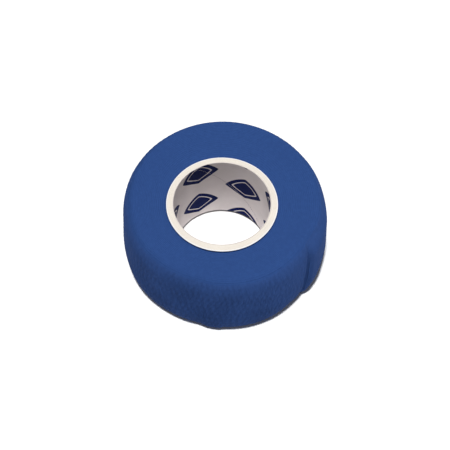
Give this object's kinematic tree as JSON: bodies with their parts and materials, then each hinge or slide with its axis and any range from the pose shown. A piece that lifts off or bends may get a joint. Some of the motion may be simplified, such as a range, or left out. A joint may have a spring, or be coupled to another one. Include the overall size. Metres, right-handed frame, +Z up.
{
  "type": "cohesive bandage roll",
  "caption": "Self-adherent crinkled cloth bandage wound on a paperboard tube, standing on its flat end, with its outer end come loose and folded back.",
  "frame": {"origin": "centre of the bounding box in plan, at the flat lower end that the roll stands on", "axes": "+Z up along the tube's axis; -Y towards the side that the picture's camera sees; the loose end's tip is at the +X, -Y side"},
  "size_m": [0.0602, 0.0606, 0.0264],
  "materials": {
    "blue_cloth": "matte crinkled nonwoven cloth",
    "paperboard": "matte cream paperboard",
    "liner_paper": "smooth white printed paper"
  },
  "bodies": {
    "root": {"wound_tape": "blue_cloth", "loose_end": "blue_cloth", "core_tube": "paperboard", "core_liner": "liner_paper"}
  },
  "joints": []
}
